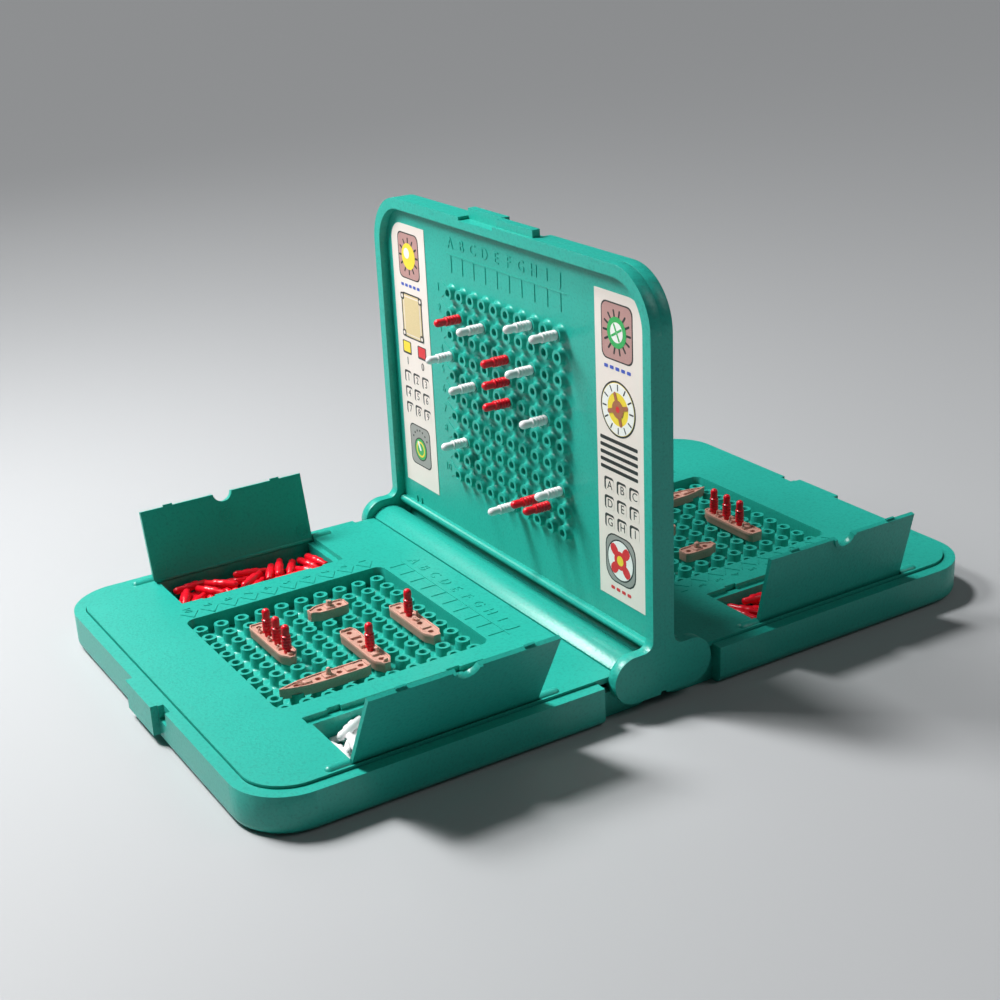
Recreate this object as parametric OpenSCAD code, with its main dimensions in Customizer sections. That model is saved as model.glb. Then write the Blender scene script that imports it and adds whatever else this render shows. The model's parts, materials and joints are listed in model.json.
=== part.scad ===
// Travel case for a two-player fleet guessing game.
// An upright leaf with a peg grid on each side stands between two trays.
// Each tray folds up against its own side of the leaf to make the carry case.
// X runs along the fold axes, the front player sits at -Y, and Z is up from the table.

/* [Case] */
// Width of the leaf and the trays along the fold axes
case_w = 146; // [120:1:190]
// Distance from a fold axis to the far edge of its tray and of the leaf
reach = 112.5; // [100:0.5:150]
// Radius of the outer corners in plan
corner_r = 16; // [8:1:24]
// Gap left between faces of pieces that move past each other
gap = 0.3; // [0.3:0.05:0.6]

/* [Peg grid] */
// Distance between neighbouring peg holes
pitch = 6.5; // [6:0.1:7]
// Outer diameter of the hollow boss round each peg hole
boss_d = 4.3; // [3.6:0.1:4.6]
// Diameter of a peg hole
peg_hole_d = 2.4; // [2:0.1:2.8]

/* [Leaf] */
// Thickness of one half of the leaf
leaf_t = 3.5; // [3:0.1:5]
// Thickness of the sheet behind the recessed face
web_t = 0.7; // [0.6:0.1:1]
// Width of the raised rim round the recessed face
rim_w = 3.4; // [2.5:0.1:4]
// Height of the first grid row above the fold axis
grid_low_z = 29.2; // [26:0.1:34]
// How far the boss mouths lie below the rim
boss_drop = 0.8; // [0.8:0.1:1.2]
// Height of the bar along the foot of the face
foot_bar_h = 3; // [2:0.5:5]
// Width of a printed label
label_w = 21; // [15:0.5:22]
// Height of a printed label
label_h = 87; // [70:1:92]
// Thickness of a printed label
label_t = 0.15; // [0.1:0.05:0.3]

/* [Lobes] */
// Thickness of the hinge lobe at each end of the leaf's foot
lobe_t = 3.4; // [3.4:0.1:4]
// Radius of the rounded end of a lobe
lobe_r = 6.9; // [6:0.1:7.5]
// Radius of the fillet between the leaf and a lobe
lobe_fillet = 3; // [1:0.5:3]

/* [Tray] */
// Height of the face that closes against the leaf's rim
tray_h = 11.5; // [10:0.1:16]
// Height of the deck above that face
deck_rise = 0.5; // [0.3:0.1:0.5]
// Thickness of the tub's side walls
wall = 3.5; // [2.5:0.1:3.5]
// Radius of the rounded edge round the tub's bottom
tub_edge_r = 2.5; // [2:0.1:2.5]
// Thickness of the tub's floor
floor_t = 1.6; // [1.2:0.1:2]
// Thickness of the deck plate
deck_t = 1.6; // [1.4:0.1:2]
// Thickness of the walls and floors of the pockets under the deck
pocket_t = 1.2; // [0.8:0.1:1.6]
// Depth of the grid's boss mouths below the deck
well_drop = 2.1; // [2.1:0.1:3]
// Height of the bosses above the floor of the well
well_boss_h = 3.4; // [2.5:0.1:4]
// Distance from the fold axis to the first grid row
grid_near = 26; // [25:0.1:30]
// Free length of the trays' side walls before the lobes
side_start = 12; // [12:0.1:14]

/* [Hinges] */
// Radius of the stub pins of the fold hinges
fold_pin_r = 2.4; // [2:0.1:3]
// Length of the stub pins of the fold hinges
fold_pin_l = 2.2; // [1.5:0.1:2.4]
// Radial running clearance of every hinge pin
pin_clear = 0.06; // [0.04:0.01:0.1]
// Radius of the stub pins of the lids
lid_pin_r = 0.5; // [0.4:0.05:0.6]
// Length of the stub pins of the lids
lid_pin_l = 1.6; // [1:0.1:2]

/* [Compartments] */
// Distance from the fold axis to the near end of the peg compartments
bin_near = 29.7; // [29.7:0.1:34]
// Length of the peg compartments
bin_l = 55; // [40:0.5:58]
// Width of the compartment for the pegs that mark hits
hit_bin_w = 22.5; // [15:0.5:24]
// Width of the compartment for the pegs that mark misses
miss_bin_w = 27; // [20:0.5:27]
// Thickness of the lids
lid_t = 1.3; // [1:0.1:1.4]
// Width of the shelf that a closed lid rests on
lid_shelf = 2; // [1:0.1:2.5]
// How far the hit lid stands open
hit_lid_open = 103; // [95:1:115]
// How far the miss lid stands open
miss_lid_open = 118; // [95:1:120]
// Length of the round-ended knuckle at each end of a lid
knuckle_l = 7; // [5:0.1:8]
// Radius of those knuckles
knuckle_r = 1.65; // [1.4:0.05:1.8]

/* [Pegs] */
// Radius of a peg's ribbed grip
peg_r = 1.4; // [1.2:0.05:1.5]
// Radius of a peg's tip
peg_tip_r = 1.05; // [0.8:0.05:1.1]
// Length of a peg
peg_l = 11.8; // [9:0.1:14]
// Length of a peg's ribbed grip
peg_grip_l = 5; // [3:0.1:8]
// Length of the end of a peg that stands in a hole
peg_shank_l = 2.6; // [2:0.1:4]

/* [Ships] */
// Height of a ship's hull above the bosses
hull_h = 2.1; // [1.5:0.1:2.1]
// How far a ship's sides reach down round the bosses
skirt = 0.9; // [0.5:0.1:1.5]
// Width of a ship
beam = 5.2; // [4.8:0.1:6]
// Diameter of the peg holes in a ship
ship_hole_d = 1.7; // [1.2:0.1:2]
// Height of the towers and masts above the hull
tower_h = 2; // [1:0.1:2.2]

/* [Hidden] */
$fn = 48;
eps = 0.01;

teal = [0.16, 0.62, 0.53];
teal_dark = [0.1, 0.5, 0.44];
cream = [0.93, 0.87, 0.8];
ship_tan = [0.88, 0.66, 0.58];
hit_red = [0.85, 0.06, 0.12];
miss_white = [0.95, 0.93, 0.94];

grid_n = 10;
grid_span = (grid_n - 1) * pitch;
// The fold axis: the barrel just touches the table, the other barrel and the leaf's foot.
axis_h = (tray_h + leaf_t) / 2;
axis_y = axis_h;
barrel_r = axis_h - gap / 2;
leaf_top = axis_h + reach;
leaf_foot = 2 * axis_h - 0.4;
deck_z = tray_h + deck_rise;
ledge_z = tray_h - gap;
deck_w = case_w - 2 * (wall + 0.2);
recess_w = case_w - 2 * rim_w;
deck_far = reach - (wall + 0.2);
deck_r = corner_r - wall;
barrel_w = case_w - 2 * lobe_t - 2 * gap;

// Lobes: centre of the rounded end, beyond and above the fold axis
lobe_c = [axis_y + 1.7, axis_h + 2.9];
lobe_low = lobe_c[1] - lobe_r;

// Rounded bar along the foot of the face: how far it stands out, and its radius
foot_bar_out = leaf_t - deck_rise - gap;
foot_bar_r = 1.2;

// Well with the fleet grid
well_w = pitch * grid_n + 0.4;
well_mid = grid_near + grid_span / 2;
mouth_z = deck_z - well_drop;
well_floor_z = mouth_z - well_boss_h;

// Lids: hinge line at the outer long edge of each compartment
lid_axis_x = deck_w / 2 - 2.1;
lid_axis_z = deck_z - lid_t / 2 - 0.1;
lid_barrel_r = lid_t / 2 + 0.2;
bin_floor_z = floor_t + 0.1 + pocket_t;
shelf_z = deck_z - deck_t;
// Room in the deck beyond the hinge line, where an open lid leans
hinge_room = 1.6;

// Catches on the leaf's top edge and the trays' far edges
catch_w = 19;
catch_out = 2.2;
latch_t = 2;

function fold_place() = [0, -axis_y, 0];

// Draws the children once for the front player or turned about for the back player.
module for_player(back) {
    rotate([0, 0, back ? 180 : 0]) children();
}

// A rectangle from x = -w/2 to w/2 and y = 0 to h, with its two far corners rounded.
module arch_outline(w, h, r) {
    translate([-w / 2, 0]) square([w, h - r]);
    translate([-w / 2 + r, 0]) square([w - 2 * r, h]);
    for (side = [-1, 1]) translate([side * (w / 2 - r), h - r]) circle(r, $fn = 96);
}

// A rectangle centred on the origin with four round corners.
module pad_outline(w, l, r) {
    square([w, l - 2 * r], center = true);
    square([w - 2 * r, l], center = true);
    for (sx = [-1, 1], sy = [-1, 1]) translate([sx * (w / 2 - r), sy * (l / 2 - r)]) circle(r);
}

// The ten by ten field of circles, centred on the origin.
module grid_circles(d) {
    for (i = [0 : grid_n - 1], j = [0 : grid_n - 1])
        translate([(i - (grid_n - 1) / 2) * pitch, (j - (grid_n - 1) / 2) * pitch]) circle(d = d, $fn = 24);
}

// ---------------------------------------------------------------- leaf

// Side view of half a foot: u grows away from the leaf, v is height.
module lobe_outline() {
    difference() {
        union() {
            translate(lobe_c) circle(lobe_r, $fn = 96);
            translate([0, lobe_low]) square([lobe_c[0], 2 * lobe_r]);
            translate([0, lobe_low + lobe_r]) square([leaf_t, leaf_foot + 8 - lobe_low - lobe_r]);
            translate([leaf_t, lobe_c[1] + lobe_r - eps]) difference() {
                square(lobe_fillet);
                translate([lobe_fillet, lobe_fillet]) circle(lobe_fillet);
            }
        }
        translate([-1, lobe_low - 1]) square([2, 1.8]);
    }
}

module leaf_outline() {
    translate([0, leaf_foot]) arch_outline(case_w, leaf_top - leaf_foot, corner_r);
}

module grid_panel(back) {
    color(teal) for_player(back) difference() {
        union() {
            // plate with the recessed face, its rim and the lower bar
            rotate([90, 0, 0]) linear_extrude(web_t) leaf_outline();
            rotate([90, 0, 0]) linear_extrude(leaf_t) difference() {
                leaf_outline();
                translate([0, leaf_foot - eps])
                    arch_outline(recess_w, leaf_top - leaf_foot - rim_w + eps, corner_r - rim_w);
            }
            translate([-recess_w / 2 - eps, -(foot_bar_out - foot_bar_r), leaf_foot])
                cube([recess_w + 2 * eps, foot_bar_out - foot_bar_r, foot_bar_h]);
            translate([-recess_w / 2 - eps, foot_bar_r - foot_bar_out, leaf_foot + foot_bar_h - foot_bar_r])
                rotate([0, 90, 0]) cylinder(h = recess_w + 2 * eps, r = foot_bar_r);
            // hollow bosses
            translate([0, 0, axis_h + grid_low_z + grid_span / 2]) rotate([90, 0, 0])
                linear_extrude(leaf_t - boss_drop) grid_circles(boss_d);
            // hinge lobes
            for (side = [0, 1]) mirror([side, 0, 0]) translate([case_w / 2 - lobe_t, 0, 0])
                rotate([90, 0, 90]) linear_extrude(lobe_t) mirror([1, 0]) lobe_outline();
            // catch on the top edge: a lip over the left half as this side's player sees it
            translate([gap, -leaf_t + 1, leaf_top - eps]) cube([catch_w - gap, leaf_t - 1, catch_out]);
        }
        translate([0, 0, axis_h + grid_low_z + grid_span / 2]) rotate([90, 0, 0])
            translate([0, 0, -1]) linear_extrude(leaf_t + 1) grid_circles(peg_hole_d);
        // blind bores for the tray's stub pins
        for (side = [0, 1]) mirror([side, 0, 0])
            translate([case_w / 2 - lobe_t - 1, -axis_y, axis_h]) rotate([0, 90, 0])
                cylinder(h = fold_pin_l + 0.4 + 1, r = fold_pin_r + pin_clear);
        // shallow channel in the top edge for the tray's latch
        translate([-catch_w, -leaf_t - 1, leaf_top - 1]) cube([catch_w - gap, leaf_t + 2, 3]);
    }
}

module label(back, side) {
    x_mid = side * (recess_w / 2 - 3.4 - label_w / 2);
    color(cream) for_player(back) rotate([90, 0, 0])
        translate([x_mid, axis_h + 17 + label_h / 2, web_t]) linear_extrude(label_t) difference() {
            square([label_w, label_h], center = true);
            translate([side * label_w / 2, label_h / 2]) difference() {
                square(12, center = true);
                translate([-side * 6, -6]) circle(6);
                translate([side > 0 ? -12 : 6, -12]) square([6, 24]);
                translate([-12, -12]) square([24, 6]);
            }
        }
}

// ---------------------------------------------------------------- trays

// Plan of a tray from distance s0 to the far edge, as drawn towards -Y from the fold axis.
module tray_plan(w, s0, s1, r) {
    mirror([0, 1]) translate([0, s0]) arch_outline(w, s1 - s0, r);
}

// The tub before it is hollowed: its bottom edge is rounded along the sides and the far end.
module tub_block() {
    r = tub_edge_r;
    translate([0, 0, r]) linear_extrude(ledge_z - r) tray_plan(case_w, side_start, reach, corner_r);
    linear_extrude(r + eps) tray_plan(case_w - 2 * r, side_start, reach - r, corner_r - r);
    for (side = [0, 1]) mirror([side, 0, 0]) {
        translate([case_w / 2 - r, -side_start, r]) rotate([90, 0, 0])
            cylinder(h = reach - side_start - corner_r, r = r);
        translate([case_w / 2 - corner_r, corner_r - reach, r]) rotate_extrude($fn = 96)
            translate([corner_r - r, 0]) circle(r);
    }
    translate([corner_r - case_w / 2, r - reach, r]) rotate([0, 90, 0]) cylinder(h = case_w - 2 * corner_r, r = r);
}

module tray_base(back) {
    color(teal) for_player(back) translate(fold_place()) {
        difference() {
            union() {
                tub_block();
                translate([-barrel_w / 2, -side_start - eps, gap / 2])
                    cube([barrel_w, side_start + eps, barrel_r]);
                translate([-barrel_w / 2, 0, axis_h]) rotate([0, 90, 0])
                    cylinder(h = barrel_w, r = barrel_r, $fn = 96);
            }
            // inside of the tub
            translate([0, 0, floor_t]) linear_extrude(tray_h)
                tray_plan(case_w - 2 * wall, side_start + wall, reach - wall, deck_r);
            // inside of the barrel
            translate([-barrel_w / 2 + 3, 0, axis_h]) rotate([0, 90, 0])
                cylinder(h = barrel_w - 6, r = barrel_r - 1.6, $fn = 96);
            // space between the barrel and the tub, under the deck
            translate([-barrel_w / 2 + 3, -side_start - wall - eps, floor_t])
                cube([barrel_w - 6, wall + side_start - barrel_r + 1.8, tray_h]);
            translate([-deck_w / 2 - 0.1, -side_start - wall - eps, shelf_z])
                cube([deck_w + 0.2, wall + side_start - barrel_r + 1.8, tray_h]);
            // slot beside the latch
            translate([catch_w / 2 + 0.6, -reach - 1, ledge_z - 4]) cube([5, wall - 1, 5]);
        }
        // stub pins
        for (side = [0, 1]) mirror([side, 0, 0]) translate([barrel_w / 2 - eps, 0, axis_h])
            rotate([0, 90, 0]) cylinder(h = gap + fold_pin_l, r = fold_pin_r);
        // latch block on the far edge
        translate([-catch_w / 2, -reach - latch_t, 2.5]) cube([catch_w, latch_t + eps, ledge_z - 2.5]);
        // posts that carry the deck
        for (sx = [-1, 1], s = [side_start + 8, deck_far - 12])
            translate([sx * (well_w / 2 + 4), -s, floor_t - eps]) cylinder(h = shelf_z - floor_t + eps, r = 2);
    }
}

// Places children with x = 0 on a lid's hinge line and x growing towards the well.
module at_bin(side) {
    translate([side * lid_axis_x, 0, 0]) mirror([side > 0 ? 1 : 0, 0, 0]) children();
}

module bin_block(w, grow, z0, z1) {
    translate([-hinge_room - grow, -bin_near - bin_l - grow, z0])
        cube([w + hinge_room + 2 * grow, bin_l + 2 * grow, z1 - z0]);
}

// A bar along +Y from the origin with a ball for its far end.
module knuckle() {
    rotate([-90, 0, 0]) cylinder(h = knuckle_l - knuckle_r, r = knuckle_r, $fn = 32);
    translate([0, knuckle_l - knuckle_r, 0]) sphere(r = knuckle_r, $fn = 32);
}

module tray_deck(back) {
    color(teal_dark) for_player(back) translate(fold_place()) difference() {
        union() {
            translate([0, 0, shelf_z]) linear_extrude(deck_t)
                tray_plan(deck_w, barrel_r - 1.4, deck_far, deck_r);
            translate([-well_w / 2 - pocket_t, -well_mid - well_w / 2 - pocket_t, well_floor_z - pocket_t])
                cube([well_w + 2 * pocket_t, well_w + 2 * pocket_t, deck_z - well_floor_z]);
            at_bin(-1) bin_block(hit_bin_w, 0.4, bin_floor_z - pocket_t, shelf_z + eps);
            at_bin(1) bin_block(miss_bin_w, 0.4, bin_floor_z - pocket_t, shelf_z + eps);
            // knuckles at both ends of each lid
            for (side = [-1, 1]) at_bin(side) {
                translate([0, -bin_near, lid_axis_z]) knuckle();
                translate([0, -bin_near - bin_l, lid_axis_z]) mirror([0, 1, 0]) knuckle();
            }
        }
        // barrel clearance
        translate([-case_w / 2, 0, axis_h]) rotate([0, 90, 0])
            cylinder(h = case_w, r = barrel_r + 0.05, $fn = 96);
        // well
        translate([0, -well_mid, well_floor_z]) difference() {
            linear_extrude(deck_z) pad_outline(well_w, well_w, 3);
            translate([0, 0, -eps]) linear_extrude(well_boss_h) grid_circles(boss_d);
        }
        translate([0, -well_mid, well_floor_z - pocket_t - 1]) linear_extrude(deck_z) grid_circles(peg_hole_d);
        // compartments: the pocket, the lid's rabbet and the notches for its tabs
        for (b = [[-1, hit_bin_w], [1, miss_bin_w]]) at_bin(b[0]) {
            bin_block(b[1], -lid_shelf, bin_floor_z, deck_z);
            bin_block(b[1], 0, shelf_z, deck_z + 1);
            for (t = [0.17, 0.83]) translate([b[1] - 0.1, -bin_near - t * bin_l - 2, shelf_z])
                cube([0.9, 4, deck_t + 1]);
            // sockets for the lid's stub pins
            translate([0, -bin_near - bin_l - lid_pin_l - 0.4, lid_axis_z]) rotate([-90, 0, 0])
                cylinder(h = bin_l + 2 * lid_pin_l + 0.8, r = lid_pin_r + pin_clear, $fn = 32);
        }
    }
}

// A lid lying shut, with x = 0 on its hinge line.
module lid_shut(w) {
    y0 = -bin_near - bin_l + gap;
    l = bin_l - 2 * gap;
    notch_r = 3.2;
    lip_w = 1;
    difference() {
        union() {
            translate([0, y0, -lid_t / 2]) cube([w - gap, l, lid_t]);
            translate([0, y0, 0]) rotate([-90, 0, 0]) cylinder(h = l, r = lid_barrel_r, $fn = 32);
            translate([0, y0 - gap - lid_pin_l, 0]) rotate([-90, 0, 0])
                cylinder(h = l + 2 * gap + 2 * lid_pin_l, r = lid_pin_r, $fn = 32);
            for (t = [0.17, 0.83]) translate([w - gap - eps, -bin_near - t * bin_l - 1.5, -lid_t / 2])
                cube([0.6, 3, 0.6]);
        }
        // finger notch in the free edge
        translate([w - gap + 0.4, y0 + l / 2, -lid_t]) cylinder(h = 2 * lid_t, r = notch_r);
    }
    // raised lip round the finger notch
    translate([0, y0 + l / 2, -lid_t / 2]) intersection() {
        translate([w - gap + 0.4, 0, 0]) difference() {
            cylinder(h = lid_t + 0.6, r = notch_r + lip_w);
            translate([0, 0, -1]) cylinder(h = lid_t + 3, r = notch_r);
        }
        translate([0, -10, 0]) cube([w - gap, 20, 5]);
    }
}

module lid(back, side, w, open) {
    color(teal) for_player(back) translate(fold_place()) at_bin(side)
        translate([0, 0, lid_axis_z]) rotate([0, -open, 0]) lid_shut(w);
}

// ---------------------------------------------------------------- pegs

// A peg lying along +X from the origin.
module peg() {
    rotate([0, 90, 0]) {
        cylinder(h = peg_l, r = peg_tip_r, $fn = 16);
        translate([0, 0, peg_shank_l]) cylinder(h = peg_grip_l, r = peg_r, $fn = 16);
    }
}

// Two layers of loose pegs that lie side by side on the floor of a compartment.
module peg_heap(back, side, w, tint) {
    room = w + hinge_room - 2 * lid_shelf;
    step = 2 * peg_r + 0.9;
    count = floor((bin_l - 2 * lid_shelf - 2) / step);
    color(tint) for_player(back) translate(fold_place()) at_bin(side)
        translate([lid_shelf - hinge_room, -bin_near - lid_shelf - 1, bin_floor_z])
            for (i = [0 : count - 1], layer = [0, 1])
                translate([(room - peg_l) / 2 * (1 + 0.5 * sin(i * 97 + layer * 60)),
                        -(i + 0.5) * step, peg_r + 0.05 + layer * (2 * peg_r + 0.1)])
                    translate([peg_l / 2, 0, 0]) rotate([0, 0, 2.5 * sin(i * 67 + layer * 131)])
                        translate([-peg_l / 2, 0, 0]) peg();
}

// ---------------------------------------------------------------- ships

// Puts a ship's first hole over a grid hole. Columns grow to +X and rows grow away from the leaf.
module at_grid(back, col, row, along_x) {
    for_player(back) translate(fold_place())
        translate([(col - (grid_n + 1) / 2) * pitch, -grid_near - (row - 1) * pitch, mouth_z])
            rotate([0, 0, along_x ? 0 : -90]) children();
}

// Plan of a hull whose holes lie along +X, with a bow at the far end.
module hull_outline(holes, bow, stern) {
    l = (holes - 1) * pitch;
    translate([-stern + 1, -beam / 2]) square([l + stern, beam]);
    translate([-stern, -beam / 2 + 1]) square([2, beam - 2]);
    for (sy = [-1, 1]) translate([-stern + 1, sy * (beam / 2 - 1)]) circle(1, $fn = 24);
    intersection_for(sy = [-1, 1])
        translate([l + 0.9, sy * (beam / 2 - bow_arc_r(bow))]) circle(bow_arc_r(bow), $fn = 96);
}

// Radius of the two arcs that meet in a bow of the given length.
function bow_arc_r(bow) = (bow * bow + beam * beam / 4) / beam;

module ship(back, col, row, along_x, holes, bow, towers) {
    color(ship_tan) at_grid(back, col, row, along_x) difference() {
        union() {
            difference() {
                translate([0, 0, -skirt]) linear_extrude(hull_h + skirt) hull_outline(holes, bow, 2.3);
                // room for the bosses under the ship and for the next one ahead of its bow
                for (i = [0 : holes]) translate([i * pitch, 0, -skirt - 1])
                    cylinder(h = skirt + 1, d = boss_d + 0.2, $fn = 24);
            }
            for (t = towers) translate([t[0] * pitch, 0, hull_h - eps])
                cylinder(h = t[2] * tower_h, r = t[1], $fn = 24);
            // pins that stand in the boss mouths
            for (i = [0, holes - 1]) translate([i * pitch, 0, -2.4])
                cylinder(h = 2.4 + eps, r = peg_hole_d / 2 - 0.15, $fn = 24);
        }
        for (i = [0 : holes - 1]) translate([i * pitch, 0, hull_h - 1.6]) cylinder(h = 3, d = ship_hole_d, $fn = 24);
    }
}

module fleet_piece(back, kind) {
    if (kind == "carrier") ship(back, 3, 8, true, 4, 3.2, [[0.5, 0.8, 1], [2.5, 0.8, 0.8]]);
    if (kind == "cruiser") ship(back, 9, 6, false, 4, 4.1, [[1.5, 0.6, 0.5]]);
    if (kind == "frigate") ship(back, 6, 5, true, 4, 3, [[0.5, 0.7, 0.6], [1.5, 0.9, 1]]);
    if (kind == "destroyer") ship(back, 5, 2, true, 4, 3, [[1.5, 0.9, 1]]);
    if (kind == "patrol_boat") ship(back, 3, 4, false, 2, 2.8, [[0.5, 0.6, 0.4]]);
}

grid_panel(false);  // front_grid_panel
grid_panel(true);  // back_grid_panel
label(false, -1);  // front_left_label
label(false, 1);  // front_right_label
label(true, -1);  // back_left_label
label(true, 1);  // back_right_label
tray_base(false);  // front_tray_base
tray_deck(false);  // front_tray_deck
lid(false, -1, hit_bin_w, hit_lid_open);  // front_hit_lid
lid(false, 1, miss_bin_w, miss_lid_open);  // front_miss_lid
peg_heap(false, -1, hit_bin_w, hit_red);  // front_hit_pegs
peg_heap(false, 1, miss_bin_w, miss_white);  // front_miss_pegs
fleet_piece(false, "carrier");  // front_carrier
fleet_piece(false, "cruiser");  // front_cruiser
fleet_piece(false, "frigate");  // front_frigate
fleet_piece(false, "destroyer");  // front_destroyer
fleet_piece(false, "patrol_boat");  // front_patrol_boat
tray_base(true);  // back_tray_base
tray_deck(true);  // back_tray_deck
lid(true, -1, hit_bin_w, hit_lid_open);  // back_hit_lid
lid(true, 1, miss_bin_w, miss_lid_open);  // back_miss_lid
peg_heap(true, -1, hit_bin_w, hit_red);  // back_hit_pegs
peg_heap(true, 1, miss_bin_w, miss_white);  // back_miss_pegs
fleet_piece(true, "carrier");  // back_carrier
fleet_piece(true, "cruiser");  // back_cruiser
fleet_piece(true, "frigate");  // back_frigate
fleet_piece(true, "destroyer");  // back_destroyer
fleet_piece(true, "patrol_boat");  // back_patrol_boat
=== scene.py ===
"""Looks of the fleet guessing case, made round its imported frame.

Lengths are metres. The front player sits at -Y. Each piece is modelled for that player, and the back
player's twin is the same piece turned half round about Z.
"""

import json
import math
import random

import bmesh
import bpy
from bpy.props import FloatProperty, FloatVectorProperty, IntProperty, PointerProperty
from bpy.types import Operator, Panel, PropertyGroup
from mathutils import Matrix, Vector


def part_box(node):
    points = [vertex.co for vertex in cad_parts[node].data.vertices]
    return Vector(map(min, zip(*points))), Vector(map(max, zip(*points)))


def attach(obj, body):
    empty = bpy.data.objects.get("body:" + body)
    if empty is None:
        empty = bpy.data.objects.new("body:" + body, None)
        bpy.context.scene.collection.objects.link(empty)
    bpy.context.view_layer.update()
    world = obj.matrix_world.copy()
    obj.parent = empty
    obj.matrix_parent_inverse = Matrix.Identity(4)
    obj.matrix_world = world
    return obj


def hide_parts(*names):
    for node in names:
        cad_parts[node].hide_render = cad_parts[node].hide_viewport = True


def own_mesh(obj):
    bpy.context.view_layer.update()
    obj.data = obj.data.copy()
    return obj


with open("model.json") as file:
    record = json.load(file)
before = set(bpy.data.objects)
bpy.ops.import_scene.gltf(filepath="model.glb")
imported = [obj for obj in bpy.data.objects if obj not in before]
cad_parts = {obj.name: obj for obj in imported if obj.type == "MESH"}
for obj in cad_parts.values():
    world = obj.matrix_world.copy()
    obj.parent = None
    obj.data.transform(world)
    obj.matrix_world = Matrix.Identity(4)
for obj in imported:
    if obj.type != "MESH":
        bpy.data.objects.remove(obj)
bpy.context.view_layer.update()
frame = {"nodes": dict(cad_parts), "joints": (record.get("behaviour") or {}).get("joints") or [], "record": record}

bl_info = {
    "name": "Fleet Guessing Case",
    "version": (1, 0, 0),
    "blender": (4, 5, 0),
    "location": "View3D > Sidebar > Fleet Case",
    "description": "Builds the finishes, legends, labels, pegs and ships of a folding fleet guessing case",
    "category": "Object",
}

MM = 0.001
JOINTS = {joint["name"]: joint for joint in frame["joints"]}
FOLD = Vector(JOINTS["front_fold"]["pos_m"])
SIDES = ("front", "back")
COLUMNS = "ABCDEFGHIJ"
GRID_N = 10
WELD = 0.002 * MM  # points closer than this are merged
CAPITAL = 0.7  # height of a capital letter as a share of the type's size
HALF_TURN = Matrix.Rotation(math.pi, 4, "Z")
FACING_FRONT = Matrix.Rotation(math.pi / 2, 4, "X")

# Pegs in play as (row, column), counted from the top left as that player sees the leaf
FRONT_MISSES = [(1, 8), (1, 10), (2, 4), (3, 8), (4, 1), (5, 3), (5, 9), (8, 2), (8, 10), (10, 6)]
FRONT_HITS = [(2, 2), (3, 6), (4, 6), (5, 6), (9, 8), (9, 9)]
BACK_MISSES = [(1, 3), (2, 9), (4, 2), (6, 5), (7, 10), (9, 3), (10, 8)]
BACK_HITS = [(3, 4), (3, 5), (6, 8), (7, 8)]

# Fleet: first hole as (column, row), whether it lies along X, number of holes, and holes with a peg
FLEET = {
    "carrier": {"at": (3, 8), "along_x": True, "holes": 4, "hit": (1, 2, 3)},
    "cruiser": {"at": (9, 6), "along_x": False, "holes": 4, "hit": ()},
    "frigate": {"at": (6, 5), "along_x": True, "holes": 4, "hit": (2,)},
    "destroyer": {"at": (5, 2), "along_x": True, "holes": 4, "hit": (1,)},
    "patrol_boat": {"at": (3, 4), "along_x": False, "holes": 2, "hit": ()},
}


# ------------------------------------------------------------------ sizes and colours


def colour(name, description, value):
    look = {"subtype": "COLOR", "size": 3, "min": 0, "max": 1}
    return FloatVectorProperty(name=name, description=description, default=value, **look)


def length(name, description, millimetres):
    default = millimetres * MM
    return FloatProperty(name=name, description=description, default=default, unit="LENGTH", precision=5)


def bearing(name, description, degrees):
    return FloatProperty(name=name, description=description, default=math.radians(degrees), subtype="ANGLE")


def strength(name, description, value, unit="POWER"):
    return FloatProperty(name=name, description=description, default=value, unit=unit)


def count(name, description, value):
    return IntProperty(name=name, description=description, default=value, min=1)


class CaseColours(PropertyGroup):
    """Colours of the case, its labels and its playing pieces."""

    case: colour("Case", "Moulded plastic of the leaf, trays and lids", (0.018, 0.4, 0.32))
    paper: colour("Paper", "Ground of the printed labels", (0.86, 0.75, 0.69))
    black: colour("Black", "Black ink of the labels", (0.02, 0.02, 0.02))
    blue: colour("Blue", "Blue ink of the labels", (0.05, 0.1, 0.5))
    red: colour("Red", "Red ink of the labels", (0.72, 0.02, 0.03))
    yellow: colour("Yellow", "Yellow ink of the labels", (0.9, 0.68, 0.04))
    green: colour("Green", "Green ink of the labels", (0.03, 0.42, 0.1))
    pink: colour("Pink", "Dusty pink ink of the labels", (0.5, 0.27, 0.25))
    grey: colour("Grey", "Grey ink of the labels", (0.33, 0.32, 0.3))
    beige: colour("Beige", "Beige ink of the labels", (0.72, 0.56, 0.3))
    brown: colour("Brown", "Brown ink of the labels", (0.4, 0.14, 0.06))
    white: colour("White", "White ink of the labels", (0.9, 0.88, 0.85))
    ship: colour("Ship", "Plastic of the ships", (0.6, 0.32, 0.25))
    hit: colour("Hit peg", "Plastic of the pegs that mark hits", (0.86, 0.004, 0.02))
    miss: colour("Miss peg", "Plastic of the pegs that mark misses", (0.88, 0.85, 0.86))


class GridSizes(PropertyGroup):
    """Peg grids of the leaf and the trays."""

    pitch: length("Pitch", "Distance between neighbouring peg holes", 6.5)
    leaf_top_row: length("Leaf top row", "Height of the leaf's first row above the table", 95.2)
    leaf_face: length("Leaf face", "Distance of the leaf's recessed face from its middle", 0.7)
    tray_near_row: length("Tray near row", "Distance of a tray's first row from its fold axis", 26)
    tray_mouth: length("Tray boss mouth", "Height of the tray's boss mouths above the table", 9.9)
    well_depth: length("Well depth", "Depth of a well's floor below its boss mouths", 3.4)
    boss_radius: length("Boss radius", "Radius of the hollow bosses at their feet", 2.15)
    deck: length("Deck", "Height of a tray's deck above the table", 12)


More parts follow.
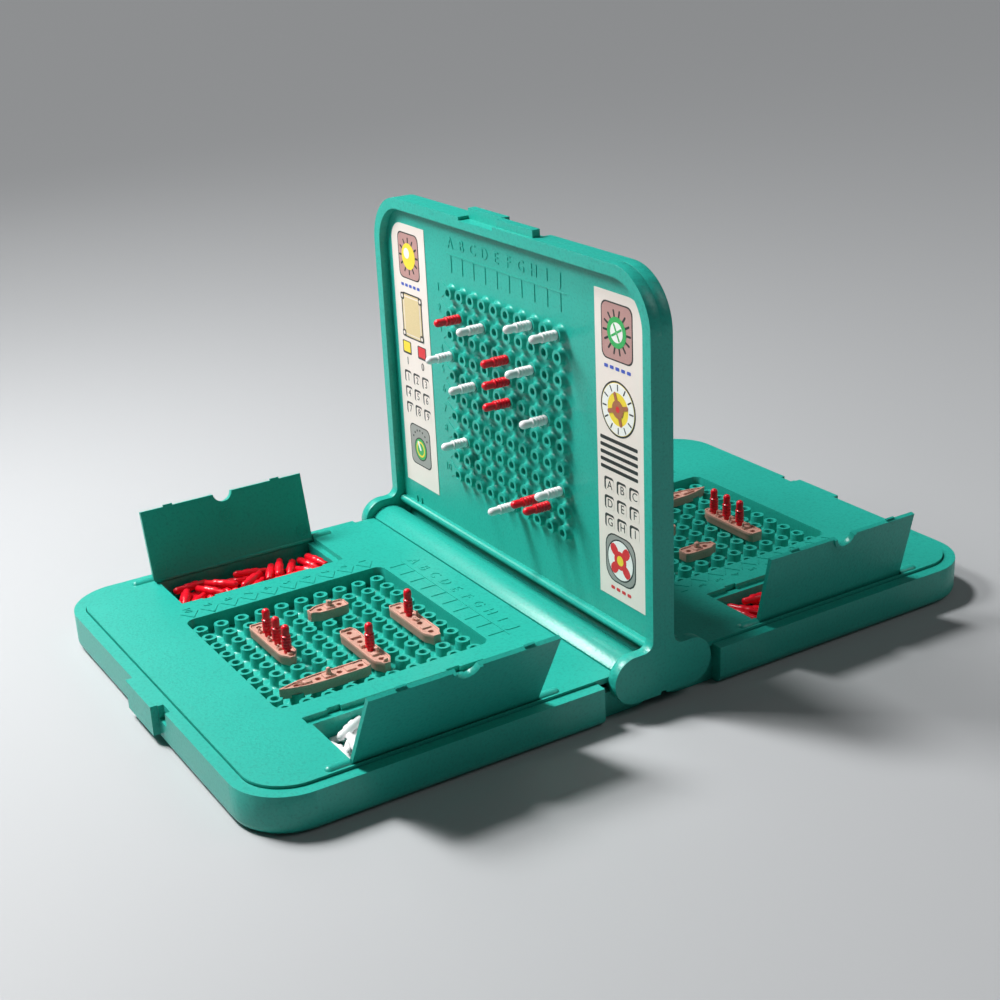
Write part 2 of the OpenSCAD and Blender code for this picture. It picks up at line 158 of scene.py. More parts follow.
class LegendSizes(PropertyGroup):
    """Raised letters, numbers and ticks."""

    raised: length("Raised", "How far the legends stand out of the face", 0.18)
    letter: length("Letter", "Height of the column letters", 3.5)
    number: length("Number", "Height of the row numbers", 2.5)
    stroke: length("Stroke", "Width of the raised lines", 0.26)


class PegSizes(PropertyGroup):
    """The pegs."""

    grip_radius: length("Grip radius", "Radius of the ribbed grip", 1.45)
    tip_radius: length("Tip radius", "Radius of the rounded tip", 1.25)
    shank_radius: length("Shank radius", "Radius of the end that stands in a hole", 1.05)
    total: length("Length", "Length of a peg", 11.2)
    shank: length("Shank length", "Length of the end that stands in a hole", 2.6)
    grip: length("Grip length", "Length of the ribbed grip", 5)
    stored: count("Stored pegs", "Most pegs dropped in a compartment", 150)
    tries: count("Tries", "Places tried for each dropped peg, of which the lowest is taken", 24)
    heap_top: length("Heap top", "Highest point of the dropped pegs above the table", 10.35)


class ShipSizes(PropertyGroup):
    """The ships."""

    beam: length("Beam", "Width of a hull at its deck", 5.2)
    skirt: length("Skirt", "How far a hull reaches down round the bosses", 0.9)
    socket: length("Socket", "Diameter of the recesses that clear the bosses", 4.5)
    hull: length("Hull", "Height of a hull above the bosses", 2.1)
    hole: length("Hole", "Diameter of a ship's peg holes", 1.7)
    hole_depth: length("Hole depth", "Depth of a ship's peg holes below its rail", 1.6)
    bulwark: length("Bulwark", "Width of the wall round a ship's deck", 0.4)
    deck_drop: length("Deck drop", "Depth of a ship's deck below its rail", 0.35)
    headroom: length("Headroom", "Highest point of a ship above the bosses", 4.0)


class StageSizes(PropertyGroup):
    """Camera and lights."""

    azimuth: bearing("Azimuth", "Camera's turn from the front", 59)
    elevation: bearing("Elevation", "Camera above the horizon", 21.8)
    roll: bearing("Roll", "Camera's turn about its axis", -2.7)
    distance: length("Distance", "Camera's distance from the point it looks at", 470)
    lens: FloatProperty(name="Lens", description="Focal length", default=58, unit="CAMERA")
    high: strength("High", "Strength of the distant light from above", 2.1, "NONE")
    key: strength("Key", "Power of the soft box over the front tray", 2.3)
    left: strength("Left", "Power of the raking light from the left", 0.55)
    back: strength("Back", "Power of the back light", 1.0)
    sky: strength("Sky", "Strength of the surrounding light", 0.05, "NONE")


class FleetCaseSettings(PropertyGroup):
    """Everything a user of the add-on can change."""

    colours: PointerProperty(type=CaseColours)
    grid: PointerProperty(type=GridSizes)
    legend: PointerProperty(type=LegendSizes)
    peg: PointerProperty(type=PegSizes)
    ship: PointerProperty(type=ShipSizes)
    stage: PointerProperty(type=StageSizes)


# ------------------------------------------------------------------ shader maths


class Wire:
    """An output socket that numbers and other wires can be worked out with."""

    def __init__(self, finish, socket):
        self.finish = finish
        self.socket = socket

    def maths(self, operation, first, second):
        return self.finish.add("ShaderNodeMath", {"operation": operation}, {0: first, 1: second})

    def __add__(self, other):
        return self.maths("ADD", self, other)

    def __radd__(self, other):
        return self.maths("ADD", other, self)

    def __sub__(self, other):
        return self.maths("SUBTRACT", self, other)

    def __rsub__(self, other):
        return self.maths("SUBTRACT", other, self)

    def __mul__(self, other):
        return self.maths("MULTIPLY", self, other)

    def __rmul__(self, other):
        return self.maths("MULTIPLY", other, self)

    def clamp(self):
        return self.finish.add("ShaderNodeClamp", {}, {"Value": self})


class Finish:
    """A material under construction."""

    def __init__(self, name, **constants):
        self.material = bpy.data.materials.new(name)
        self.material.use_nodes = True
        self.tree = self.material.node_tree
        self.tree.nodes.clear()
        self.shader = self.tree.nodes.new("ShaderNodeBsdfPrincipled")
        output = self.tree.nodes.new("ShaderNodeOutputMaterial")
        self.tree.links.new(self.shader.outputs[0], output.inputs["Surface"])
        for socket, value in constants.items():
            self.shader.inputs[socket.replace("_", " ")].default_value = value
        self.place = self.add("ShaderNodeTexCoord", {}, {}, "Object")

    def add(self, kind, settings, values, output=0):
        """Adds a node: its settings are set first, then its sockets get values or links."""
        node = self.tree.nodes.new(kind)
        for name, value in settings.items():
            setattr(node, name, value)
        for name, value in values.items():
            self.feed(node.inputs[name], value)
        return Wire(self, node.outputs[output])

    def feed(self, socket, value):
        if isinstance(value, Wire):
            self.tree.links.new(value.socket, socket)
        else:
            socket.default_value = value

    def noise(self, scale, detail=2.0, roughness=0.5):
        values = {"Vector": self.place, "Scale": scale, "Detail": detail, "Roughness": roughness}
        return self.add("ShaderNodeTexNoise", {}, values)

    def stretched_noise(self, stretch, scale, detail=2.0):
        along = self.add("ShaderNodeMapping", {}, {"Vector": self.place, "Scale": stretch})
        return self.add("ShaderNodeTexNoise", {}, {"Vector": along, "Scale": scale, "Detail": detail})

    def cells(self, scale):
        return self.add("ShaderNodeTexVoronoi", {}, {"Vector": self.place, "Scale": scale}, "Distance")

    def mix(self, first, second, share):
        """Mixes two colours."""
        return self.add("ShaderNodeMix", {"data_type": "RGBA"}, {0: share, 6: first, 7: second}, 2)

    def bump(self, height, strength, distance):
        return self.add("ShaderNodeBump", {}, {"Height": height, "Strength": strength, "Distance": distance})

    def set(self, **sockets):
        for name, value in sockets.items():
            self.feed(self.shader.inputs[name.replace("_", " ")], value)
        return self.material


def tone(rgb, factor, lift=0.0):
    """A colour made lighter or darker, as RGBA."""
    return tuple(min(1.0, c * factor + lift) for c in rgb) + (1.0,)


def moulded_plastic(name, rgb, grain=1300, grain_depth=0.06 * MM, gloss=0.34, depth=0.12):
    """Satin moulded plastic: spark-eroded grain, clouded pigment, faint flow marks and handling wear."""
    finish = Finish(name, Specular_IOR_Level=0.5, IOR=1.49)
    clouds = finish.noise(38, 3)
    flow = finish.stretched_noise((1.0, 0.35, 1.0), 120, 3)
    fine = finish.noise(grain, 2, 0.55)
    pits = finish.cells(grain * 0.8)
    scuffs = ((finish.stretched_noise((9.0, 1.0, 3.0), 160, 4) - 0.62) * 5).clamp()
    pigment = finish.mix(tone(rgb, 1 - depth), tone(rgb, 1 + depth), (clouds * 0.7 + flow * 0.3).clamp())
    worn = finish.mix(pigment, tone(rgb, 1.12, 0.03), scuffs * 0.22)
    grained = finish.mix(worn, tone(rgb, 0.55), ((fine - 0.5) * 3.5).clamp() * 0.55)
    return finish.set(
        Base_Color=grained,
        Roughness=(clouds * 0.1 + fine * 0.12 + scuffs * 0.12 + (gloss - 0.1)).clamp(),
        Normal=finish.bump(fine * 0.8 + pits * 0.5 + flow * 0.2, 0.7, grain_depth),
    )


def glossy_plastic(name, rgb, gloss=0.26):
    """Small glossy moulding with a faint skin, colour drift and fingerprints."""
    finish = Finish(name, Specular_IOR_Level=0.5, IOR=1.5)
    drift = finish.noise(210, 3)
    skin = finish.noise(1900, 2)
    smears = ((finish.noise(480, 4) - 0.5) * 3).clamp()
    return finish.set(
        Base_Color=finish.mix(tone(rgb, 0.88), tone(rgb, 1.07), drift),
        Roughness=(smears * 0.16 + skin * 0.06 + gloss).clamp(),
        Normal=finish.bump(skin * 0.6 + drift * 0.4, 0.3, 0.02 * MM),
    )


def label_paper(name, rgb):
    """Coated sticker paper with fibre and a slight yellowing."""
    finish = Finish(name, Specular_IOR_Level=0.45, Coat_Roughness=0.25)
    fibre = finish.stretched_noise((3.0, 1.0, 0.6), 900, 4)
    age = finish.noise(60, 3)
    return finish.set(
        Base_Color=finish.mix(tone(rgb, 0.93), tone(rgb, 1.05), (age * 0.6 + fibre * 0.4).clamp()),
        Roughness=(fibre * 0.14 + 0.34).clamp(),
        Coat_Weight=(age * 0.3 + 0.1).clamp(),
        Normal=finish.bump(fibre, 0.25, 0.015 * MM),
    )


def printing_ink(name, rgb):
    """Ink on the label: a fine halftone wash over the paper's fibre."""
    finish = Finish(name, Specular_IOR_Level=0.4)
    fibre = finish.stretched_noise((3.0, 1.0, 0.6), 900, 4)
    dots = finish.cells(3200)
    return finish.set(
        Base_Color=finish.mix(tone(rgb, 0.9), tone(rgb, 1.05, 0.015), (dots * 0.6 + fibre * 0.4).clamp()),
        Roughness=(fibre * 0.14 + 0.34).clamp(),
        Normal=finish.bump(fibre, 0.2, 0.01 * MM),
    )


class Finishes:
    """Each material is made once, when it is first asked for."""

    makers = {
        "case": moulded_plastic,
        "ship": lambda name, rgb: moulded_plastic(name, rgb, 2600, 0.015 * MM, 0.42, 0.08),
        "hit": glossy_plastic,
        "miss": glossy_plastic,
        "paper": label_paper,
    }
    made = {}

    @classmethod
    def get(cls, which):
        if which not in cls.made:
            rgb = tuple(getattr(settings().colours, which))
            cls.made[which] = cls.makers.get(which, printing_ink)(which + "_finish", rgb)
        return cls.made[which]


# ------------------------------------------------------------------ modelling tools


def settings():
    return bpy.context.scene.fleet_case


def deselect():
    if bpy.context.object and bpy.context.object.mode != "OBJECT":
        bpy.ops.object.mode_set(mode="OBJECT")
    bpy.ops.object.select_all(action="DESELECT")


def only(piece):
    """Makes a piece the only one selected."""
    deselect()
    piece.select_set(True)
    bpy.context.view_layer.objects.active = piece
    return piece


def select_faces(piece, test):
    """Edit mode, with just the faces selected that pass the test."""
    only(piece)
    bpy.ops.object.mode_set(mode="EDIT")
    bpy.ops.mesh.select_mode(type="FACE")
    bpy.ops.mesh.select_all(action="DESELECT")
    mesh = bmesh.from_edit_mesh(piece.data)
    for face in mesh.faces:
        face.select_set(test(face))
    bmesh.update_edit_mesh(piece.data)


def select_edges_along_x(piece):
    """Edit mode, with just the edges selected that run along X."""
    only(piece)
    bpy.ops.object.mode_set(mode="EDIT")
    bpy.ops.mesh.select_all(action="DESELECT")
    mesh = bmesh.from_edit_mesh(piece.data)
    for edge in mesh.edges:
        along = edge.verts[1].co - edge.verts[0].co
        edge.select_set(abs(along.x) > abs(along.y) + abs(along.z))
    bmesh.update_edit_mesh(piece.data)


def edit_all():
    """Edit mode on the active piece, with all of it selected."""
    bpy.ops.object.mode_set(mode="EDIT")
    bpy.ops.mesh.select_all(action="SELECT")


def leave_edit():
    bpy.ops.object.mode_set(mode="OBJECT")


def draw_up(height, share=(1, 1), about=0.0):
    """Extrudes what is selected along Z, and scales its end in X and Y about a height on the Z axis."""
    bpy.ops.mesh.extrude_region_move(TRANSFORM_OT_translate={"value": (0, 0, height)})
    if share != (1, 1):
        bpy.ops.transform.resize(value=(*share, 1), center_override=(0, 0, about))


def tidy_mesh(piece):
    """Merges doubles and turns every face outwards."""
    only(piece)
    edit_all()
    bpy.ops.mesh.remove_doubles(threshold=WELD)
    bpy.ops.mesh.normals_make_consistent(inside=False)
    leave_edit()
    return piece


def set_place(piece, matrix):
    """Moves a piece's mesh, so that its object stays at the origin."""
    piece.data.transform(matrix)
    piece.data.update()
    return piece


def settle(piece):
    """Puts an object's own place, turn and size into its mesh."""
    only(piece)
    bpy.ops.object.transform_apply(location=True, rotation=True, scale=True)
    return piece


def copy_of(piece, matrix):
    """A copy with its own mesh, moved by a matrix."""
    twin = piece.copy()
    twin.data = piece.data.copy()
    bpy.context.collection.objects.link(twin)
    return set_place(twin, matrix)


def discard(piece):
    bpy.data.objects.remove(piece)


def join(pieces, name):
    deselect()
    for piece in pieces:
        piece.select_set(True)
    bpy.context.view_layer.objects.active = pieces[0]
    if len(pieces) > 1:
        bpy.ops.object.join()
    pieces[0].name = name
    return pieces[0]


def paint(piece, finish):
    piece.data.materials.clear()
    piece.data.materials.append(Finishes.get(finish))
    return piece


def modify(piece, kind, **values):
    """Adds a modifier and applies it."""
    only(piece)
    modifier = piece.modifiers.new(kind.lower(), kind)
    for name, value in values.items():
        setattr(modifier, name, value)
    bpy.ops.object.modifier_apply(modifier=modifier.name)
    return piece


def soften(piece, width, segments=2, angle=35):
    """Rounds the sharp edges, as a mould does, and shades the rest smooth."""
    limit = math.radians(angle)
    modify(piece, "BEVEL", width=width, segments=segments, limit_method="ANGLE", angle_limit=limit)
    return smooth(piece, angle)


def smooth(piece, angle=35):
    only(piece)
    bpy.ops.object.shade_smooth_by_angle(angle=math.radians(angle))
    return piece


def plate(width, height, thickness, radius=0.0, at=(0, 0, 0), corner_steps=4):
    """A flat rounded rectangle that lies on the XY plane at the given place."""
    deselect()
    bpy.ops.mesh.primitive_plane_add(size=1, location=(0, 0, 0))
    piece = bpy.context.object
    piece.scale = (width, height, 1)
    settle(piece)
    edit_all()
    if radius:
        bpy.ops.mesh.bevel(offset=radius, segments=corner_steps, affect="VERTICES")
        bpy.ops.mesh.select_all(action="SELECT")
    draw_up(thickness)
    bpy.ops.mesh.select_all(action="SELECT")
    bpy.ops.mesh.normals_make_consistent(inside=False)
    leave_edit()
    return set_place(piece, Matrix.Translation(at))


def circle(radius, sides, z=0.0, fill="NGON"):
    """A circle round the Z axis, in edit mode with all of it selected."""
    deselect()
    bpy.ops.mesh.primitive_circle_add(vertices=sides, radius=radius, fill_type=fill, location=(0, 0, z))
    piece = settle(bpy.context.object)
    edit_all()
    return piece


def turned(stations, sides, fill="NGON"):
    """A round bar grown along Z through stations of (height, radius). Fill NOTHING leaves its ends open."""
    height, radius = stations[0]
    piece = circle(radius, sides, height, fill)
    for z, r in stations[1:]:
        draw_up(z - height, (r / radius, r / radius), z)
        height, radius = z, r
    leave_edit()
    return tidy_mesh(piece)


def disc(radius, thickness, at=(0, 0, 0), sides=40):
    z = at[2]
    piece = turned([(z, radius), (z + thickness, radius)], sides)
    return set_place(piece, Matrix.Translation((at[0], at[1], 0)))


def ring(radius, width, thickness, at=(0, 0, 0), sides=40):
    """A flat ring: a circle is inset, its middle is taken out and the rest is drawn up."""
    piece = circle(radius, sides)
    bpy.ops.mesh.inset(thickness=width)
    bpy.ops.mesh.delete(type="FACE")
    bpy.ops.mesh.select_all(action="SELECT")
    draw_up(thickness)
    leave_edit()
    return set_place(tidy_mesh(piece), Matrix.Translation(at))


def stroke(start, end, width, thickness, z=0.0):
    """A raised line from one point of the XY plane to another."""
    start, end = Vector(start), Vector(end)
    along = end - start
    piece = plate(along.length + width, width, thickness, width * 0.45, corner_steps=2)
    turn = Matrix.Rotation(math.atan2(along.y, along.x), 4, "Z")
    middle = (start + end) / 2
    return set_place(piece, Matrix.Translation((middle.x, middle.y, z)) @ turn)


def lettering(text, height, thickness, at):
    """A generic letter or number, raised from the XY plane and centred on a place."""
    deselect()
    bpy.ops.object.text_add(location=(0, 0, 0))
    piece = bpy.context.object
    piece.data.body = text
    piece.data.size = height / CAPITAL
    piece.data.extrude = thickness / 2
    piece.data.resolution_u = 3
    piece.data.align_x = "CENTER"
    piece.data.align_y = "CENTER"
    only(piece)
    bpy.ops.object.convert(target="MESH")
    piece = bpy.context.object
    return set_place(piece, Matrix.Translation((at[0], at[1], at[2] + thickness / 2)))


def fit_out(piece, name, body, replaces=()):
    """Names a finished piece and hands it to its body."""
    piece.name = name
    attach(piece, body)
    if replaces:
        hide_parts(*replaces)
    return piece


def fit_both(piece, name, body, replaces=""):
    """Fits a piece for the front player and its half-turned twin for the back player."""
    twin = copy_of(piece, HALF_TURN)
    fitted = []
    for side, one in zip(SIDES, (piece, twin)):
        nodes = (replaces.format(side=side),) if replaces else ()
        fitted.append(fit_out(one, f"{side}_{name}", body.format(side=side), nodes))
    return fitted


def column_x(column):
    return (column - (GRID_N + 1) / 2) * settings().grid.pitch


def leaf_hole(row, column):
    """A hole of the leaf's front grid, as (x, z)."""
    grid = settings().grid
    return column_x(column), grid.leaf_top_row - (row - 1) * grid.pitch


def tray_hole(row, column):
    """A hole of the front tray's grid, as (x, y)."""
    grid = settings().grid
    return column_x(column), FOLD.y - grid.tray_near_row - (row - 1) * grid.pitch


def all_holes(hole):
    """Every hole of a grid, from the function that places one."""
    return [hole(row, column) for row in range(1, GRID_N + 1) for column in range(1, GRID_N + 1)]


# ------------------------------------------------------------------ case


class FLEETCASE_OT_case_finish(Operator):
    """Give the leaf, trays and lids their moulded plastic and softened edges"""

    bl_idname = "fleetcase.case_finish"
    bl_label = "Case Plastic"

    def execute(self, context):
        for name, node in frame["nodes"].items():
            finish = "paper" if name.endswith("_label") else "case"
            paint(node, finish)
            if finish == "case":
                round_edges(node)
        return {"FINISHED"}


def round_edges(node, width=0.3 * MM):
    """Live modifiers that round a CAD node's edges and leave its mesh alone."""
    weld = node.modifiers.new("weld", "WELD")
    weld.merge_threshold = WELD
    bevel = node.modifiers.new("mould_radius", "BEVEL")
    bevel.width = width
    bevel.segments = 2
    bevel.limit_method = "ANGLE"
    bevel.angle_limit = math.radians(50)
    bevel.harden_normals = True


# ------------------------------------------------------------------ legends


def column_legend(line_y, letter_y, tick_end, raised):
    """Letters A to J over a line with a tick for each column, drawn on the XY plane."""
    sizes = settings().legend
    end = 4.9 * settings().grid.pitch
    made = [stroke((-end, line_y), (end, line_y), sizes.stroke, raised)]
    for column, letter in enumerate(COLUMNS, 1):
        x = column_x(column)
        made.append(lettering(letter, sizes.letter, raised, (x, letter_y, 0)))
        made.append(stroke((x, line_y), (x, tick_end), sizes.stroke, raised))
    return made


def row_legend(first_y, apex_x, reach, raised):
    """Numbers 1 to 10, each in the open end of an arrow that points at its row."""
    sizes = settings().legend
    pitch = settings().grid.pitch
    made = []
    for row in range(1, GRID_N + 1):
        y = first_y - (row - 1) * pitch
        made.append(lettering(str(row), sizes.number, raised, (apex_x - reach * 1.2, y, 0)))
        for lean in (-1, 1):
            end = (apex_x - reach * 0.85, y + lean * pitch * 0.42)
            made.append(stroke((apex_x, y), end, sizes.stroke, raised))
    return made


class FLEETCASE_OT_leaf_legend(Operator):
    """Raise the column letters, row numbers and ticks beside the leaf's grids"""

    bl_idname = "fleetcase.leaf_legend"
    bl_label = "Leaf Legend"

    def execute(self, context):
        grid, raised = settings().grid, settings().legend.raised
        top = grid.leaf_top_row
        pitch = grid.pitch
        made = column_legend(top + 1.75 * pitch, top + 2.3 * pitch, top + 0.95 * pitch, raised)
        made += row_legend(top, leaf_hole(1, 1)[0] - 0.45 * pitch, 0.75 * pitch, raised)
        made += foot_ticks(raised)
        legend = join(made, "legend")
        set_place(legend, Matrix.Translation((0, -grid.leaf_face, 0)) @ FACING_FRONT)
        smooth(paint(legend, "case"))
        fit_both(legend, "leaf_legend", "leaf")
        return {"FINISHED"}


def foot_ticks(raised):
    """Two short ticks just above the left end of the foot bar."""
    low, high = 17.9 * MM, 19.6 * MM
    width = settings().legend.stroke * 1.6
    return [stroke((x * MM, low), (x * MM, high), width, raised * 2) for x in (-60.5, -57.5)]


class FLEETCASE_OT_deck_legend(Operator):
    """Raise the letters, numbers and ticks on the decks round the fleet wells"""

    bl_idname = "fleetcase.deck_legend"
    bl_label = "Deck Legend"

    def execute(self, context):
        grid, raised = settings().grid, settings().legend.raised
        pitch = grid.pitch
        near = tray_hole(1, 1)[1]
        made = column_legend(near + 1.55 * pitch, near + 2.05 * pitch, near + 0.75 * pitch, raised)
        made += row_legend(near, tray_hole(1, 1)[0] - 0.68 * pitch, 0.72 * pitch, raised)
        legend = join(made, "legend")
        set_place(legend, Matrix.Translation((0, 0, grid.deck)))
        smooth(paint(legend, "case"))
        fit_both(legend, "deck_legend", "{side}_tray")
        return {"FINISHED"}


# ------------------------------------------------------------------ labels


INK = 0.03 * MM  # thickness of one layer of ink


class LabelArt:
    """Printed art of one label. Places are shares of its width from the left and its height from the top."""

    def __init__(self, node):
        low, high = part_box(node)
        self.low, self.high = low, high
        self.width = high.x - low.x
        self.height = high.z - low.z
        self.made = []

    def spot(self, across, down, layer):
        return self.low.x + across * self.width, self.high.z - down * self.height, layer * INK

    def keep(self, piece, ink):
        self.made.append(paint(piece, ink))

    def panel(self, across, down, width, height, ink, layer=0, radius=0.12):
        w, h = width * self.width, height * self.height
        self.keep(plate(w, h, INK, radius * min(w, h), self.spot(across, down, layer)), ink)

    def dot(self, across, down, radius, ink, layer=1, sides=40):
        self.keep(disc(radius * self.width, INK, self.spot(across, down, layer), sides), ink)

    def hoop(self, across, down, radius, width, ink, layer=2):
        self.keep(ring(radius * self.width, width * self.width, INK, self.spot(across, down, layer)), ink)

    def rays(self, across, down, inner, outer, count, ink, layer=1, first=0.0, thick=0.03):
        x, y, z = self.spot(across, down, layer)
        for i in range(count):
            way = Vector((math.cos(first + i * math.tau / count), math.sin(first + i * math.tau / count)))
            start = Vector((x, y)) + way * inner * self.width
            end = Vector((x, y)) + way * outer * self.width
            self.keep(stroke(start, end, thick * self.width, INK, z), ink)

    def sign(self, across, down, text, share, ink="black", layer=2):
        self.keep(lettering(text, share * self.width, INK, self.spot(across, down, layer)), ink)

    def dashes(self, across, down, count, ink):
        for i in range(count):
            self.panel(across + (i - (count - 1) / 2) * 0.12, down, 0.08, 0.011, ink, 1, 0.3)

    def keypad(self, top, signs):
        """Three rows of three keys, each a dark cap edge with its sign."""
        for i, text in enumerate(signs):
            across = 0.24 + 0.27 * (i % 3)
            down = top + 0.062 * (i // 3)
            self.panel(across, down, 0.2, 0.045, "black", 0, 0.2)
            self.panel(across + 0.02, down + 0.004, 0.17, 0.038, "paper", 1, 0.2)
            self.sign(across + 0.02, down + 0.004, text, 0.115)

    def framed(self, across, down, width, height, ink, radius=0.16):
        """A panel with a thin black border."""
        self.panel(across, down, width, height, "black", 0, radius)
        self.panel(across, down, width - 0.04, height - 0.009, ink, 1, radius)

    def finish(self, name):
        art = join(self.made, name)
        set_place(art, Matrix.Translation((0, self.low.y, 0)) @ FACING_FRONT)
        fit_both(art, name, "leaf")


class FLEETCASE_OT_label_art(Operator):
    """Print the dials, switches and keypads on the leaf's labels"""

    bl_idname = "fleetcase.label_art"
    bl_label = "Label Art"

    def execute(self, context):
        left_label_art()
        right_label_art()
        return {"FINISHED"}


def left_label_art():
    middle = 0.5
    art = LabelArt("front_left_label")
    sun_dial(art, middle, 0.115)
    art.dashes(middle, 0.225, 5, "blue")
    chart_window(art, middle, 0.34)
    for across, ink, text in ((0.27, "yellow", "I"), (0.73, "red", "0")):
        art.panel(across, 0.465, 0.26, 0.05, "black", 0, 0.12)
        art.panel(across, 0.463, 0.21, 0.039, ink, 1, 0.1)
        art.sign(across, 0.518, text, 0.12)
    art.keypad(0.578, "123456789")
    sounding_dial(art, middle, 0.84)
    art.finish("left_label_art")


def sun_dial(art, across, down):
    """A yellow lamp in a ring of rays."""
    art.framed(across, down, 0.62, 0.17, "pink")
    art.rays(across, down, 0.2, 0.27, 12, "black", 2)
    art.dot(across, down, 0.2, "yellow", 3)
    art.dot(across - 0.05, down - 0.01, 0.08, "white", 4)


# Steps of the window's frame from the outside in, as (width, height, ink, rounding)
WINDOW_STEPS = (
    (0.56, 0.158, "beige", 0.12),
    (0.5, 0.146, "paper", 0.08),
    (0.46, 0.138, "beige", 0.06),
)


def chart_window(art, across, down):
    """A beige window in a stepped frame with a clip at each corner."""
    art.panel(across, down, 0.62, 0.17, "black", 0, 0.14)
    for layer, (width, height, ink, radius) in enumerate(WINDOW_STEPS, 1):
        art.panel(across, down, width, height, ink, layer, radius)
    for aside in (-0.27, 0.27):
        for lower in (-0.07, 0.07):
            art.panel(across + aside, down + lower, 0.1, 0.026, "black", 4, 0.3)
            art.dot(across + aside, down + lower, 0.03, "paper", 5)


def sounding_dial(art, across, down):
    """A green dial with a white hand, under an arc of dots."""
    art.framed(across, down, 0.62, 0.16, "grey")
    for i in range(7):
        way = math.radians(30 + i * 20)
        art.dot(across - 0.24 * math.cos(way), down - 0.062 * math.sin(way), 0.018, "black", 2, 16)
    centre = down + 0.012
    art.dot(across, centre, 0.19, "black", 2)
    art.dot(across, centre, 0.17, "green", 3)
    art.hoop(across, centre, 0.13, 0.03, "yellow", 4)
    art.rays(across, centre, 0.0, 0.12, 1, "white", 5, math.radians(120), 0.05)


def right_label_art():
    middle = 0.47
    art = LabelArt("front_right_label")
    cross_dial(art, middle, 0.12)
    art.dashes(middle, 0.233, 5, "blue")
    compass(art, middle, 0.36)
    for i in range(5):
        art.panel(middle, 0.468 + 0.024 * i, 0.8, 0.012, "black", 0, 0.3)
    art.keypad(0.617, COLUMNS[:9])
    hand_wheel(art, middle, 0.86)
    art.dashes(middle, 0.965, 4, "red")
    art.finish("right_label_art")


def cross_dial(art, across, down):
    """A green dial with a cross on its white face, in a ring of rays."""
    art.framed(across, down, 0.66, 0.18, "pink")
    art.rays(across, down, 0.2, 0.28, 14, "black", 2)
    art.dot(across, down, 0.2, "green", 3)
    art.dot(across, down, 0.13, "white", 4)
    art.rays(across, down, 0.02, 0.11, 4, "green", 5, 0.5, 0.03)


def compass(art, across, down):
    """A large compass with a brown rose."""
    art.dot(across, down, 0.37, "black", 0, 56)
    art.dot(across, down, 0.345, "yellow", 1, 56)
    art.hoop(across, down, 0.34, 0.12, "white", 2)
    art.rays(across, down, 0.25, 0.32, 12, "black", 3, 0.0, 0.02)
    art.rays(across, down, 0.0, 0.2, 4, "brown", 4, 0.3, 0.06)
    art.dot(across, down, 0.12, "brown", 5)
    art.dot(across, down, 0.04, "red", 6)


def hand_wheel(art, across, down):
    """A white wheel with four red spokes and a yellow hub."""
    art.framed(across, down, 0.66, 0.165, "grey", 0.3)
    art.dot(across, down, 0.29, "black", 2)
    art.dot(across, down, 0.27, "white", 3)
    art.rays(across, down, 0.16, 0.2, 4, "red", 4, 0.8, 0.14)
    art.dot(across, down, 0.13, "red", 5)
    art.dot(across, down, 0.07, "yellow", 6)


# ------------------------------------------------------------------ lids and bosses


def lid_place(kind):
    """Matrix from a front lid lying shut, X away from its hinge line, to the lid as it stands open."""
    joint = JOINTS[f"front_{kind}_lid_hinge"]
    hinge = Vector(joint["pos_m"])
    turn = Matrix.Rotation(-math.radians(joint["range_deg"][1]), 4, "Y")
    flip = Matrix.Scale(-1, 4, (1, 0, 0)) if hinge.x > 0 else Matrix.Identity(4)
    return Matrix.Translation((hinge.x, 0, hinge.z)) @ flip @ turn


class FLEETCASE_OT_lid_marks(Operator):
    """Add the round ejector marks on the undersides of the lids"""

    bl_idname = "fleetcase.lid_marks"
    bl_label = "Lid Marks"

    def execute(self, context):
        for kind in ("hit", "miss"):
            low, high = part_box(f"front_{kind}_lid")
            middle = (low.y + high.y) / 2
            aside = (high.y - low.y) * 0.42
            made = []
            for x, y in ((3.6 * MM, middle - aside), (3.6 * MM, middle + aside), (15 * MM, middle)):
                made += self.mark(x, y)
            marks = set_place(join(made, "marks"), lid_place(kind))
            smooth(paint(tidy_mesh(marks), "case"))
            fit_both(marks, f"{kind}_lid_marks", "{side}_" + f"{kind}_lid")
        return {"FINISHED"}

    def mark(self, x, y):
        """A wide and a narrow ring that hang from the underside, one inside the other."""
        underside = -0.65 * MM
        wide, narrow = 0.16 * MM, 0.1 * MM
        return [
            ring(2.3 * MM, 0.4 * MM, wide, (x, y, underside - wide), 28),
            ring(1.1 * MM, 0.25 * MM, narrow, (x, y, underside - narrow), 20),
        ]


